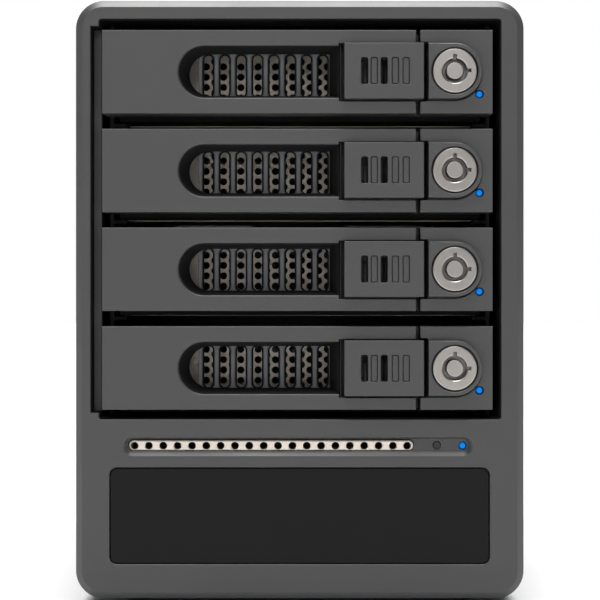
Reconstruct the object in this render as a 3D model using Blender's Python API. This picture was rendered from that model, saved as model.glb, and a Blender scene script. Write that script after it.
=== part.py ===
"""Four-bay drive tower: a free-standing enclosure with four lockable drive trays.

X runs to the right, Y to the back and Z up. The origin is on the ground, under the middle
of the body. The front face looks along -Y. Sizes below are in millimetres and are scaled
to metres as each mesh is made.
"""

import math

import bmesh
import bpy
from mathutils import Matrix, Vector

MM = 0.001

# ---- Body -----------------------------------------------------------------------------
BODY_WIDTH = 135.8
BODY_DEPTH = 215.0
BODY_HEIGHT = 181.2
FOOT_HEIGHT = 3.0
CORNER_R = 8.5
FRONT_CHAMFER = 2.2
SHELL_WALL = 1.5
GAP = 0.3  # kept between any two neighbouring pieces
BEZEL_DEPTH = 12.0
PANEL_THICK = 2.0

LEFT, RIGHT = -BODY_WIDTH / 2, BODY_WIDTH / 2
FRONT, BACK = -BODY_DEPTH / 2, BODY_DEPTH / 2
BOTTOM, TOP = FOOT_HEIGHT, FOOT_HEIGHT + BODY_HEIGHT
BEZEL_BACK = FRONT + BEZEL_DEPTH
SHELL_FRONT = BEZEL_BACK + GAP
SHELL_BACK = BACK - PANEL_THICK - GAP

# ---- Bay opening and trays ------------------------------------------------------------
BAY = (-60.75, 60.85, 57.4, 178.5)
NOTCH = (-63.2, -60.0, 59.4, 176.3)  # step in the left wall that the handles swing into
NOTCH_DEPTH = 7.6
TRAY_COUNT = 4
TRAY_PITCH = 29.85
TOP_TRAY_Z = 162.5
TRAY_HALF = 12.62
TRAY_LEFT, TRAY_RIGHT = -59.72, 58.24
TRAY_Z = [TOP_TRAY_Z - TRAY_PITCH * n for n in range(TRAY_COUNT)]

# ---- Handle, latch and lock -----------------------------------------------------------
HANDLE_RIGHT = 35.13
HANDLE_THICK = 8.5
PIVOT = (-56.2, FRONT + 4.4)
PIVOT_R = TRAY_LEFT * -1 + PIVOT[0]
FINGER_LEFT, FINGER_HALF = -36.86, 7.93
CHANNEL_LEFT, CHANNEL_HALF = 12.2, 8.97
LATCH = (13.41, 37.37)
LATCH_HALF = 8.37
PROUD = 2.5
LOCK_LEFT = 36.44
LOCK_CENTRE = 46.67
LOCK_BOSS_LEFT = 38.76
LOCK_R = 6.75
PLATE_DEPTH = 9.0
PLATE_THICK = 2.5
TRAY_BACK = FRONT + PLATE_DEPTH + PLATE_THICK
SLOT_FIRST, SLOT_PITCH, SLOT_COUNT = -28.1, 5.036, 8
SLOT_WIDTH, SLOT_LENGTH = 3.6, 13.2
TRAY_LED = (54.3, -6.76)

# ---- Caddy, cage and drives -----------------------------------------------------------
CADDY_HALF = 56.1
CADDY_FRONT, CADDY_BACK = FRONT + 25.0, 68.5
CADDY_FLOOR = -14.2
CADDY_WALL_TOP = 6.0
SHEET = 1.0
CAGE_FRONT, CAGE_BACK = FRONT + 13.0, 70.5
CAGE_INSIDE, CAGE_OUTSIDE = 57.5, 58.7
CAGE_FLOOR, CAGE_TOP = 54.5, 180.0

# ---- Lower front ----------------------------------------------------------------------
VENT = (-53.3, 52.1, 46.3, 52.1)
VENT_FLOOR = (-52.2, 51.0, 47.9, 51.46)
VENT_DEPTH = 1.5
STRIP = (-51.7, 34.3, 48.19, 51.16)
STRIP_HOLES, STRIP_FIRST, STRIP_PITCH, STRIP_HOLE_R = 20, -50.06, 4.348, 1.02
BUTTON = (41.5, 49.5)
STATUS = (49.3, 49.4)
WINDOW = (-57.2, 57.1, 13.98, 42.6)
WINDOW_R = 2.0

# ---- Rear -----------------------------------------------------------------------------
FAN_Z, FAN_HALF, FAN_BORE = 118.0, 40.0, 38.2
FAN_FRONT, FAN_BACK = 80.2, SHELL_BACK - GAP
FAN_BLADES = 7
SCREW_X, SCREW_Z = 61.5, (9.0, 178.0)
INLET = (-38.5, 25.0)
SWITCH = (-13.5, 25.0)


# ---- Helpers --------------------------------------------------------------------------
def collection(name):
    made = bpy.data.collections.new(name)
    bpy.context.scene.collection.children.link(made)
    return made


def material(name, colour, roughness, metallic=0.0, glow=0.0):
    made = bpy.data.materials.new(name)
    made.use_nodes = True
    shader = made.node_tree.nodes["Principled BSDF"]
    shader.inputs["Base Color"].default_value = (*colour, 1.0)
    shader.inputs["Roughness"].default_value = roughness
    shader.inputs["Metallic"].default_value = metallic
    if glow:
        shader.inputs["Emission Color"].default_value = (*colour, 1.0)
        shader.inputs["Emission Strength"].default_value = glow
    made.diffuse_color = (*colour, 1.0)
    return made


def arc(cx, cz, radius, start, end, steps):
    """Points from angle start to end, in degrees."""
    angles = [math.radians(start + (end - start) * i / steps) for i in range(steps + 1)]
    return [(cx + radius * math.cos(a), cz + radius * math.sin(a)) for a in angles]


def circle(cx, cz, radius, steps):
    return arc(cx, cz, radius, 0, 360, steps)[:-1]


def rounded_rect(x0, x1, z0, z1, radius, steps):
    return (
        arc(x1 - radius, z0 + radius, radius, -90, 0, steps)
        + arc(x1 - radius, z1 - radius, radius, 0, 90, steps)
        + arc(x0 + radius, z1 - radius, radius, 90, 180, steps)
        + arc(x0 + radius, z0 + radius, radius, 180, 270, steps)
    )


def tidy(mesh, flat=True):
    """Welds loose caps, joins the flat triangles of a filled outline and turns the faces out."""
    bm = bmesh.new()
    bm.from_mesh(mesh)
    bmesh.ops.remove_doubles(bm, verts=bm.verts, dist=1e-6)
    if flat:
        bmesh.ops.dissolve_limit(
            bm, angle_limit=math.radians(0.05), verts=bm.verts, edges=bm.edges
        )
    bmesh.ops.recalc_face_normals(bm, faces=bm.faces)
    bm.to_mesh(mesh)
    bm.free()


def add(name, mesh):
    obj = bpy.data.objects.new(name, mesh)
    PARTS.objects.link(obj)
    return obj


TURN = {
    "X": (math.pi / 2, 0, math.pi / 2),
    "Y": (math.pi / 2, 0, 0),
    "Z": (0, 0, 0),
}


def prism(name, loops, low, high, axis="Y"):
    """A flat outline, less the loops after the first, extruded from low to high.

    The outline is (x, z) for axis Y, (x, y) for axis Z and (y, z) for axis X.
    """
    curve = bpy.data.curves.new(name, "CURVE")
    curve.dimensions = "2D"
    curve.fill_mode = "BOTH"
    curve.extrude = (high - low) / 2 * MM
    for loop in loops:
        spline = curve.splines.new("POLY")
        spline.points.add(len(loop) - 1)
        for point, (u, v) in zip(spline.points, loop):
            point.co = (u * MM, v * MM, 0, 1)
        spline.use_cyclic_u = True
    guide = bpy.data.objects.new(name, curve)
    PARTS.objects.link(guide)
    guide.rotation_euler = TURN[axis]
    guide.location["XYZ".index(axis)] = (low + high) / 2 * MM
    bpy.context.view_layer.update()
    graph = bpy.context.evaluated_depsgraph_get()
    mesh = bpy.data.meshes.new_from_object(guide.evaluated_get(graph))
    mesh.transform(guide.matrix_world)
    bpy.data.objects.remove(guide)
    bpy.data.curves.remove(curve)
    tidy(mesh, flat=len(loops) == 1)
    return add(name, mesh)


def from_bmesh(name, bm):
    mesh = bpy.data.meshes.new(name)
    bm.to_mesh(mesh)
    bm.free()
    return add(name, mesh)


def box(name, x, y, z, bevel=0.0):
    bm = bmesh.new()
    bmesh.ops.create_cube(bm, size=1.0)
    size = Vector((x[1] - x[0], y[1] - y[0], z[1] - z[0])) * MM
    middle = Vector((x[0] + x[1], y[0] + y[1], z[0] + z[1])) * MM / 2
    bmesh.ops.scale(bm, vec=size, verts=bm.verts)
    bmesh.ops.translate(bm, vec=middle, verts=bm.verts)
    if bevel:
        bmesh.ops.bevel(
            bm, geom=bm.edges[:], offset=bevel * MM, segments=1, affect="EDGES"
        )
    return from_bmesh(name, bm)


def cylinder(name, centre, radius, low, high, axis="Y", steps=16, far_radius=None):
    """A cylinder or cone between low and high along the axis; far_radius is at high."""
    bm = bmesh.new()
    bmesh.ops.create_cone(
        bm,
        cap_ends=True,
        cap_tris=False,
        segments=steps,
        radius1=radius * MM,
        radius2=(radius if far_radius is None else far_radius) * MM,
        depth=(high - low) * MM,
    )
    turn = {
        "X": Matrix.Rotation(math.pi / 2, 4, "Y"),
        "Y": Matrix.Rotation(-math.pi / 2, 4, "X"),
        "Z": Matrix.Identity(4),
    }[axis]
    middle = (low + high) / 2
    place = {
        "X": (middle, centre[0], centre[1]),
        "Y": (centre[0], middle, centre[1]),
        "Z": (centre[0], centre[1], middle),
    }[axis]
    bmesh.ops.transform(
        bm, matrix=Matrix.Translation(Vector(place) * MM) @ turn, verts=bm.verts
    )
    return from_bmesh(name, bm)


def taper(name, near, far, y_near, y_far):
    """A block whose near face and far face are different rectangles (x0, x1, z0, z1)."""
    bm = bmesh.new()
    bmesh.ops.create_cube(bm, size=2.0)
    for vert in bm.verts:
        x0, x1, z0, z1 = near if vert.co.y < 0 else far
        vert.co = (
            Vector(
                (
                    x0 if vert.co.x < 0 else x1,
                    y_near if vert.co.y < 0 else y_far,
                    z0 if vert.co.z < 0 else z1,
                )
            )
            * MM
        )
    return from_bmesh(name, bm)


def bevel_rim(obj, y, width, segments=1):
    """Bevels the sharp edges that lie in the plane at this y."""
    bm = bmesh.new()
    bm.from_mesh(obj.data)
    rim = [
        edge
        for edge in bm.edges
        if all(abs(v.co.y - y * MM) < 1e-6 for v in edge.verts)
        and edge.calc_face_angle(0) > math.radians(30)
    ]
    bmesh.ops.bevel(
        bm, geom=rim, offset=width * MM, segments=segments, profile=0.5, affect="EDGES"
    )
    bm.to_mesh(obj.data)
    bm.free()


def combine(target, operation, others):
    for other in others:
        modifier = target.modifiers.new(operation.title(), "BOOLEAN")
        modifier.operation = operation
        modifier.solver = "EXACT"
        modifier.object = other
        if other.name in PARTS.objects:
            PARTS.objects.unlink(other)
            CUTTERS.objects.link(other)
        other.name = f"{target.name}_{operation.lower()}"
        other.hide_render = True
        other.display_type = "WIRE"
    return target


def cut(target, *others):
    return combine(target, "DIFFERENCE", others)


def join(target, *others):
    return combine(target, "UNION", others)


def bake(obj):
    """The mesh with its Booleans applied; the object and its helpers are removed."""
    bpy.context.view_layer.update()
    graph = bpy.context.evaluated_depsgraph_get()
    mesh = bpy.data.meshes.new_from_object(obj.evaluated_get(graph))
    for helper in [m.object for m in obj.modifiers if m.type == "BOOLEAN"] + [obj]:
        bpy.data.objects.remove(helper)
    tidy(mesh, flat=False)
    return mesh


def finish(obj, mat, parent, origin=(0.0, 0.0, 0.0)):
    """Gives a piece its material, its origin (in millimetres) and its parent."""
    if mat.name not in obj.data.materials:
        obj.data.materials.append(mat)
    if any(origin):
        centre = Vector(origin) * MM
        obj.data.transform(Matrix.Translation(-centre))
        obj.location = centre
    obj.data.shade_smooth()
    obj.data.set_sharp_from_angle(angle=math.radians(32))
    hold(obj, parent)
    return obj


def hold(child, parent):
    bpy.context.view_layer.update()
    child.parent = parent
    child.matrix_parent_inverse = parent.matrix_world.inverted()


def empty(name, place, parent=None):
    obj = bpy.data.objects.new(name, None)
    obj.empty_display_size = 0.01
    obj.location = Vector(place) * MM
    PARTS.objects.link(obj)
    if parent is not None:
        hold(obj, parent)
    return obj


# ---- Scene ----------------------------------------------------------------------------
for old in list(bpy.data.objects):
    bpy.data.objects.remove(old, do_unlink=True)

PARTS = collection("drive_tower")
CUTTERS = collection("cutters")

GREY = material("painted_shell", (0.085, 0.085, 0.085), 0.45, 0.2)
TRAY_GREY = material("tray_plastic", (0.095, 0.095, 0.096), 0.5)
LATCH_GREY = material("latch_plastic", (0.09, 0.09, 0.09), 0.5)
STEEL = material("sheet_steel", (0.42, 0.39, 0.36), 0.35, 1.0)
NICKEL = material("lock_nickel", (0.48, 0.46, 0.44), 0.28, 1.0)
BEIGE = material("strip_metal", (0.55, 0.47, 0.40), 0.35, 0.8)
BLUE = material("blue_light", (0.01, 0.25, 0.95), 0.3, 0.0, 4.0)
BLACK_GLOSS = material("window_gloss", (0.015, 0.015, 0.015), 0.15)
BLACK = material("black_plastic", (0.02, 0.02, 0.02), 0.5)
RUBBER = material("foot_rubber", (0.02, 0.02, 0.02), 0.85)
BOARD = material("board_green", (0.02, 0.11, 0.05), 0.45)
SCREW = material("screw_steel", (0.2, 0.2, 0.2), 0.3, 1.0)

ROOT = empty("drive_tower_origin", (0, 0, 0))
BODY_OUTLINE = rounded_rect(LEFT, RIGHT, BOTTOM, TOP, CORNER_R, 6)


# ---- Casing ---------------------------------------------------------------------------
def front_bezel():
    bezel = prism("front_bezel", [BODY_OUTLINE], FRONT, BEZEL_BACK)
    bevel_rim(bezel, FRONT, FRONT_CHAMFER)
    x0, x1, z0, z1 = VENT_FLOOR
    wx0, wx1, wz0, wz1 = WINDOW
    sx0, sx1, sz0, sz1 = STRIP
    reach = 2.0
    grow = reach / VENT_DEPTH
    mouth = tuple(
        f + (m - f) * (1 + grow) for m, f in zip(VENT, VENT_FLOOR)
    )
    cut(
        bezel,
        prism("bay", [rounded_rect(*BAY, 0.9, 2)], FRONT - 2, BEZEL_BACK + 2),
        box("notch", NOTCH[:2], (FRONT - 2, FRONT + NOTCH_DEPTH), NOTCH[2:]),
        taper("vent", mouth, VENT_FLOOR, FRONT - reach, FRONT + VENT_DEPTH),
        prism(
            "strip_seat",
            [rounded_rect(sx0 - GAP, sx1 + GAP, sz0 - GAP, sz1 + GAP, 1.7, 4)],
            FRONT + 0.9,
            FRONT + 3.4,
        ),
        box("strip_slot", (sx0 + 0.9, sx1 - 0.9), (FRONT + 3, BEZEL_BACK + 2), (48.7, 50.6)),
        prism(
            "window_seat",
            [rounded_rect(wx0 - GAP, wx1 + GAP, wz0 - GAP, wz1 + GAP, WINDOW_R + GAP, 4)],
            FRONT - 2,
            FRONT + 2.9,
        ),
        cylinder("button_hole", BUTTON, 1.36, FRONT - 2, BEZEL_BACK + 2, steps=12),
        cylinder("status_hole", STATUS, 1.28, FRONT - 2, BEZEL_BACK + 2, steps=12),
    )
    finish(bezel, GREY, ROOT)


def outer_shell():
    """A wrap with a solid post in each rear corner, where the rear panel is screwed on."""
    w = SHELL_WALL
    shell = prism("outer_shell", [BODY_OUTLINE], SHELL_FRONT, SHELL_BACK)
    inner = rounded_rect(LEFT + w, RIGHT - w, BOTTOM + w, TOP - w, CORNER_R - w, 6)
    x0, x1, z0, z1 = 57.5, RIGHT - w - 0.2, BOTTOM + w + 0.2, TOP - w - 0.2
    low, high = 14.0, 173.0
    half = [(x0, z0), (x0, low), (x1, low), (x1, high), (x0, high), (x0, z1)]
    between_posts = half + [(-x, z) for x, z in reversed(half)]
    cut(
        shell,
        prism("hollow", [inner], SHELL_FRONT - 2, 93.0),
        prism("rear_hollow", [between_posts], 90.0, SHELL_BACK + 2),
        *(
            cylinder("screw_hole", (side * SCREW_X, z), 1.6, 91.0, SHELL_BACK + 2, steps=10)
            for side in (-1, 1)
            for z in SCREW_Z
        ),
    )
    finish(shell, GREY, ROOT)


def rear_panel():
    ix, iz = INLET
    sx, sz = SWITCH
    panel = prism(
        "rear_panel",
        [BODY_OUTLINE, circle(0, FAN_Z, 38.0, 28)],
        BACK - PANEL_THICK,
        BACK,
    )
    cut(
        panel,
        box("inlet_hole", (ix - 13.5, ix + 13.5), (BACK - 4, BACK + 2), (iz - 10, iz + 10)),
        box("switch_hole", (sx - 6.1, sx + 6.1), (BACK - 4, BACK + 2), (sz - 10, sz + 10)),
        box("port_hole_1", (23.7, 40.3), (BACK - 4, BACK + 2), (10.6, 24.7)),
        box("port_hole_2", (42.7, 56.3), (BACK - 4, BACK + 2), (10.6, 18.7)),
        *(
            cylinder("screw_hole", (side * SCREW_X, z), 1.6, BACK - 4, BACK + 2, steps=10)
            for side in (-1, 1)
            for z in SCREW_Z
        ),
    )
    finish(panel, GREY, ROOT)


def rear_screws():
    n = 0
    for z in SCREW_Z:
        for side in (-1, 1):
            n += 1
            centre = (side * SCREW_X, z)
            screw = cylinder(f"rear_screw_{n}", centre, 1.3, 97.0, BACK + 1.0, steps=8)
            join(
                screw,
                cylinder("head", centre, 2.6, BACK + GAP, BACK + 2.1, steps=12, far_radius=2.1),
            )
            cut(
                screw,
                box("slot_a", (centre[0] - 1.3, centre[0] + 1.3), (BACK + 1.2, BACK + 3), (z - 0.35, z + 0.35)),
                box("slot_b", (centre[0] - 0.35, centre[0] + 0.35), (BACK + 1.2, BACK + 3), (z - 1.3, z + 1.3)),
            )
            finish(screw, SCREW, ROOT)


def feet():
    n = 0
    for y in (-85.0, 85.0):
        for x in (-50.0, 50.0):
            n += 1
            foot = cylinder(
                f"foot_{n}", (x, y), 6.2, 0.0, FOOT_HEIGHT - GAP, "Z", 20, far_radius=7.0
            )
            finish(foot, RUBBER, ROOT)


# ---- Lower front ----------------------------------------------------------------------
def lower_front():
    strip = prism(
        "vent_strip",
        [rounded_rect(*STRIP, 1.45, 4)]
        + [
            circle(STRIP_FIRST + STRIP_PITCH * i, 49.66, STRIP_HOLE_R, 8)
            for i in range(STRIP_HOLES)
        ],
        FRONT + 1.3,
        FRONT + 3.0,
    )
    finish(strip, BEIGE, ROOT)

    window = prism(
        "front_window", [rounded_rect(*WINDOW, WINDOW_R, 4)], FRONT + 0.2, FRONT + 2.6
    )
    finish(window, BLACK_GLOSS, ROOT)

    light = cylinder("status_led", STATUS, 0.98, FRONT + 1.2, FRONT + 15.0, steps=12)
    finish(light, BLUE, ROOT)

    button = cylinder("mute_button", BUTTON, 1.06, FRONT + 1.1, BEZEL_BACK + 1.5, steps=12)
    join(
        button,
        cylinder("flange", BUTTON, 2.0, BEZEL_BACK + 0.5, BEZEL_BACK + 2.0, steps=12),
    )
    finish(button, GREY, ROOT, (BUTTON[0], FRONT + 7.0, BUTTON[1]))

    board = box("front_board", (-60, 60), (-91.5, -89.9), (10.0, 53.4))
    join(
        board,
        box("chip", (-20, -4), (-93.2, -91.0), (20, 36)),
        box("connector", (-58, -50), (-90.5, -85.0), (16, 40)),
    )
    cut(
        board,
        *(
            cylinder("hole", (side * 56.5, z), 1.6, -94, -86, steps=8)
            for side in (-1, 1)
            for z in (13.0, 50.4)
        ),
    )
    finish(board, BOARD, ROOT)


# ---- Cage and electronics -------------------------------------------------------------
def drive_cage():
    """A folded U that holds the trays on four pairs of ledges."""
    inner = []
    for z in TRAY_Z:
        inner += [
            (CAGE_INSIDE, z - 14.5),
            (CAGE_INSIDE - 4, z - 14.5),
            (CAGE_INSIDE - 4, z - 15.5),
            (CAGE_INSIDE, z - 15.5),
        ]
    right = (
        [(CAGE_OUTSIDE, CAGE_FLOOR), (CAGE_OUTSIDE, CAGE_TOP), (CAGE_INSIDE, CAGE_TOP)]
        + inner
        + [(CAGE_INSIDE, CAGE_FLOOR + 1.2)]
    )
    left = [(-x, z) for x, z in reversed(right)]
    cage = prism("drive_cage", [right + left], CAGE_FRONT, CAGE_BACK)
    finish(cage, STEEL, ROOT)


def backplane():
    board = box("backplane_board", (-57, 57), (72.0, 73.6), (57.0, 177.0))
    sockets = [
        box("socket", (-36, 4), (68.6, 72.5), (z - 10.0, z - 3.6)) for z in TRAY_Z
    ]
    join(board, *sockets)
    cut(
        board,
        *(
            box("air", (x, x + 20), (60, 80), (z + 0.5, z + 9.5))
            for z in TRAY_Z
            for x in (-46, -10, 26)
        ),
    )
    finish(board, BOARD, ROOT)


def power_supply():
    case = box("power_supply", (-56, 17), (-22, 78), (4.8, 44.8), bevel=1.0)
    cut(
        case,
        *(
            box("vent", (-46 + 12 * i, -40 + 12 * i), (-24, -19), (14, 36))
            for i in range(5)
        ),
    )
    finish(case, STEEL, ROOT)


def controller():
    board = box("controller_board", (22, 57), (-60, 102), (9.0, 10.6))
    join(
        board,
        box("heat_sink", (28, 50), (-30, -4), (10.0, 18.0)),
        box("chip", (30, 44), (20, 34), (10.0, 12.2)),
        box("power_socket", (26, 34), (-58, -44), (10.0, 20.0)),
        *(
            cylinder("standoff", (x, y), 2.2, 4.8, 9.8, "Z", 8)
            for x in (26, 53)
            for y in (-50, 76)
        ),
    )
    finish(board, BOARD, ROOT)

    jack = box("data_port_1", (24, 40), (88, BACK + 0.9), (10.9, 24.4))
    cut(jack, box("socket", (26, 38), (95, BACK + 4), (12.6, 21.2)))
    finish(jack, STEEL, ROOT)

    jack = box("data_port_2", (43, 56), (90, BACK + 0.9), (10.9, 18.4))
    cut(jack, box("socket", (44, 55), (98, BACK + 4), (12.0, 17.3)))
    finish(jack, STEEL, ROOT)


def power_entry():
    ix, iz = INLET
    inlet = box("power_inlet", (ix - 13.2, ix + 13.2), (84, BACK + 1.0), (iz - 9.7, iz + 9.7))
    join(
        inlet,
        prism(
            "flange",
            [rounded_rect(ix - 15, ix + 15, iz - 12, iz + 12, 2.0, 3)],
            BACK + GAP,
            BACK + 1.9,
        ),
    )
    socket = [
        (ix - 12, iz - 8.1), (ix + 12, iz - 8.1), (ix + 12, iz + 3.6),
        (ix + 7.5, iz + 8.1), (ix - 7.5, iz + 8.1), (ix - 12, iz + 3.6),
    ]
    cut(inlet, prism("socket", [socket], 92, BACK + 5))
    join(
        inlet,
        *(
            box("blade", (ix + x - 1, ix + x + 1), (90, 101.5), (iz + z - 2, iz + z + 2))
            for x, z in ((-7, -2), (7, -2), (0, 2.5))
        ),
    )
    finish(inlet, BLACK, ROOT)

    sx, sz = SWITCH
    frame = box("switch_frame", (sx - 5.8, sx + 5.8), (92, BACK + 1.0), (sz - 9.7, sz + 9.7))
    join(
        frame,
        prism(
            "flange",
            [rounded_rect(sx - 6.6, sx + 6.6, sz - 10.6, sz + 10.6, 1.2, 2)],
            BACK + GAP,
            BACK + 1.6,
        ),
    )
    cut(frame, box("well", (sx - 4.7, sx + 4.7), (97, BACK + 4), (sz - 8.8, sz + 8.8)))
    finish(frame, BLACK, ROOT)

    pivot = (sx, BACK - 3.0, sz)
    side = [(4.0, -7.8), (3.2, 0), (4.0, 7.8), (1.0, 7.8), (-4.0, 3.0), (-4.0, -3.0), (1.0, -7.8)]
    rocker = prism(
        "power_switch",
        [[(pivot[1] + y, sz + z) for y, z in side]],
        sx - 4.3,
        sx + 4.3,
        axis="X",
    )
    finish(rocker, BLACK, ROOT, pivot)
    rocker.rotation_euler.x = math.radians(7.0)


# ---- Fan ------------------------------------------------------------------------------
def fan():
    frame = prism(
        "fan_frame",
        [
            rounded_rect(-FAN_HALF, FAN_HALF, FAN_Z - FAN_HALF, FAN_Z + FAN_HALF, 4.0, 3),
            circle(0, FAN_Z, FAN_BORE, 32),
        ],
        FAN_FRONT,
        FAN_BACK,
    )
    arm = FAN_BORE + 0.7
    mount_front = FAN_BACK - 2.7
    join(
        frame,
        cylinder("mount", (0, FAN_Z), 15.0, mount_front, FAN_BACK, steps=20),
        box("strut_a", (-arm, arm), (mount_front + 0.2, FAN_BACK - 0.2), (FAN_Z - 1.6, FAN_Z + 1.6)),
        box("strut_b", (-1.6, 1.6), (mount_front + 0.2, FAN_BACK - 0.2), (FAN_Z - arm, FAN_Z + arm)),
    )
    cut(
        frame,
        cylinder("bearing", (0, FAN_Z), 1.8, mount_front - 2, FAN_BACK + 2, steps=12),
        *(
            cylinder("fixing", (x * 35.75, FAN_Z + z * 35.75), 2.1, FAN_FRONT - 2, FAN_BACK + 2, steps=8)
            for x in (-1, 1)
            for z in (-1, 1)
        ),
    )
    finish(frame, BLACK, ROOT)

    hub_front, hub_back = FAN_FRONT + 3.0, mount_front - 0.5
    rotor = cylinder("fan_rotor", (0, FAN_Z), 14.2, hub_front, hub_back, steps=21)
    blades = []
    for n in range(FAN_BLADES):
        bm = bmesh.new()
        bmesh.ops.create_cube(bm, size=1.0)
        bmesh.ops.scale(bm, vec=Vector((17.0, 1.5, 23.4)) * MM, verts=bm.verts)
        for vert in bm.verts:
            pitch = 50.0 if vert.co.z < 0 else 30.0
            vert.co = Matrix.Rotation(math.radians(pitch), 3, "Z") @ vert.co
        middle = Vector((0, (hub_front + hub_back) / 2, 24.9)) * MM
        bmesh.ops.translate(bm, vec=middle, verts=bm.verts)
        turn = Matrix.Rotation(2 * math.pi * n / FAN_BLADES, 4, "Y")
        bmesh.ops.transform(
            bm,
            matrix=Matrix.Translation(Vector((0, 0, FAN_Z)) * MM) @ turn,
            verts=bm.verts,
        )
        bmesh.ops.triangulate(bm, faces=bm.faces)
        blades.append(from_bmesh("blade", bm))
    join(rotor, *blades, cylinder("shaft", (0, FAN_Z), 1.5, hub_back - 2, FAN_BACK - 0.5, steps=12))
    finish(rotor, BLACK, ROOT, (0, (hub_front + hub_back) / 2, FAN_Z))

    low, high = BACK + GAP, BACK + PROUD
    bars = []
    for sign in (-1, 1):
        bar = box("bar", (-50.5, 50.5), (low + 0.15, high - 0.15), (-0.9, 0.9))
        bar.data.transform(
            Matrix.Translation(Vector((0, 0, FAN_Z)) * MM)
            @ Matrix.Rotation(sign * math.pi / 4, 4, "Y")
        )
        bars.append(bar)
    guard = prism("fan_guard", [circle(0, FAN_Z, 9.8, 20), circle(0, FAN_Z, 8.0, 20)], low, high)
    rings = [
        prism("ring", [circle(0, FAN_Z, r + 0.9, 28), circle(0, FAN_Z, r - 0.9, 28)], low, high)
        for r in (18.0, 27.0, 36.0)
    ]
    eyes = [
        cylinder("eye", (x * 35.75, FAN_Z + z * 35.75), 3.4, low, high, steps=12)
        for x in (-1, 1)
        for z in (-1, 1)
    ]
    join(guard, *bars, *rings, *eyes)
    finish(guard, SCREW, ROOT)


# ---- One tray's pieces, drawn with the tray's middle at z = 0 --------------------------
def tray_front_mesh():
    plate = [TRAY_LEFT + 0.3, TRAY_RIGHT]
    front = box("tray_front", plate, (FRONT + PLATE_DEPTH, TRAY_BACK), (-12.5, 12.5))
    boss = [(LOCK_BOSS_LEFT - 0.2, -LATCH_HALF)] + arc(
        LOCK_CENTRE, 0, LATCH_HALF, -90, 90, 12
    ) + [(LOCK_BOSS_LEFT - 0.2, LATCH_HALF)]
    px, py = PIVOT
    join(
        front,
        box("lock_block", (LOCK_LEFT, TRAY_RIGHT - 0.02), (FRONT, TRAY_BACK - 0.5), (-TRAY_HALF, TRAY_HALF)),
        prism("lock_boss", [boss], FRONT - PROUD, FRONT + 3),
        cylinder("knuckle", PIVOT, 3.0, -4.0, 4.0, "Z", 16),
        box("knuckle_web", (px - 2.0, px + 2.0), (py, FRONT + PLATE_DEPTH + 1.0), (-3.9, 3.9)),
        box("lip", (-55.5, 55.5), (TRAY_BACK - 2.0, CADDY_FRONT - 0.7), (-13.8, -12.3)),
    )
    slots = []
    half = SLOT_LENGTH / 2 - SLOT_WIDTH / 2
    for i in range(SLOT_COUNT):
        x = SLOT_FIRST + SLOT_PITCH * i
        outline = arc(x, half, SLOT_WIDTH / 2, 0, 180, 4) + arc(x, -half, SLOT_WIDTH / 2, 180, 360, 4)
        slots.append(prism("slot", [outline], FRONT + PLATE_DEPTH - 1, TRAY_BACK + 1))
    cut(
        front,
        *slots,
        box("latch_pocket", (LOCK_LEFT - 1, LOCK_BOSS_LEFT), (FRONT - 4, FRONT + 8), (-CHANNEL_HALF, CHANNEL_HALF)),
        cylinder("lock_bore", (LOCK_CENTRE, 0), LOCK_R + GAP, FRONT - 4, FRONT + 7.5, steps=24),
        cylinder("led_bore", TRAY_LED, 1.3, FRONT - 2, FRONT + 4.5, steps=12),
        cylinder("pin_bore", PIVOT, 1.3, -5, 5, "Z", 12),
    )
    return bake(front)


def handle_mesh():
    px, py = PIVOT
    back = FRONT + HANDLE_THICK
    outline = [
        (TRAY_LEFT, FRONT), (HANDLE_RIGHT, FRONT), (HANDLE_RIGHT, back), (px + 1.7, back)
    ] + arc(px, py, PIVOT_R, 90, 180, 5)
    handle = prism("handle", [outline], -TRAY_HALF, TRAY_HALF, axis="Z")
    grip = arc(FINGER_LEFT + FINGER_HALF, 0, FINGER_HALF, 90, 270, 12) + [
        (CHANNEL_LEFT + 1, -FINGER_HALF), (CHANNEL_LEFT + 1, FINGER_HALF)
    ]
    over = HANDLE_RIGHT + 2
    cut(
        handle,
        box("channel", (CHANNEL_LEFT, over), (FRONT - 2, FRONT + 6.9), (-CHANNEL_HALF, CHANNEL_HALF)),
        box("groove", (CHANNEL_LEFT, over), (FRONT + 2.9, FRONT + 4.9), (-10.0, 10.0)),
        prism("finger_opening", [grip], FRONT - 2, back + 2),
        box("knuckle_room", (TRAY_LEFT - 3, px + 3.3), (FRONT + 1.1, back + 2), (-4.3, 4.3)),
        cylinder("pin_bore", PIVOT, 1.3, -10.3, 10.3, "Z", 12),
    )
    return bake(handle)


def latch_mesh():
    left, right = LATCH
    latch = box("latch", LATCH, (FRONT - PROUD, FRONT + 6.55), (-LATCH_HALF, LATCH_HALF))
    join(latch, box("runner", (left + 0.1, 34.9), (FRONT + 3.25, FRONT + 4.55), (-9.65, 9.65)))
    grooves = []
    for x, deep in ((19.5, 4.0), (22.4, 0.7), (25.4, 4.0), (28.75, 0.7), (32.0, 0.7)):
        grooves.append(
            box("grip", (x - 1.02, x + 1.02), (FRONT - PROUD - 1, FRONT - PROUD + deep), (-4.05, 4.05))
        )
    cut(latch, *grooves)
    return bake(latch)


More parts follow.
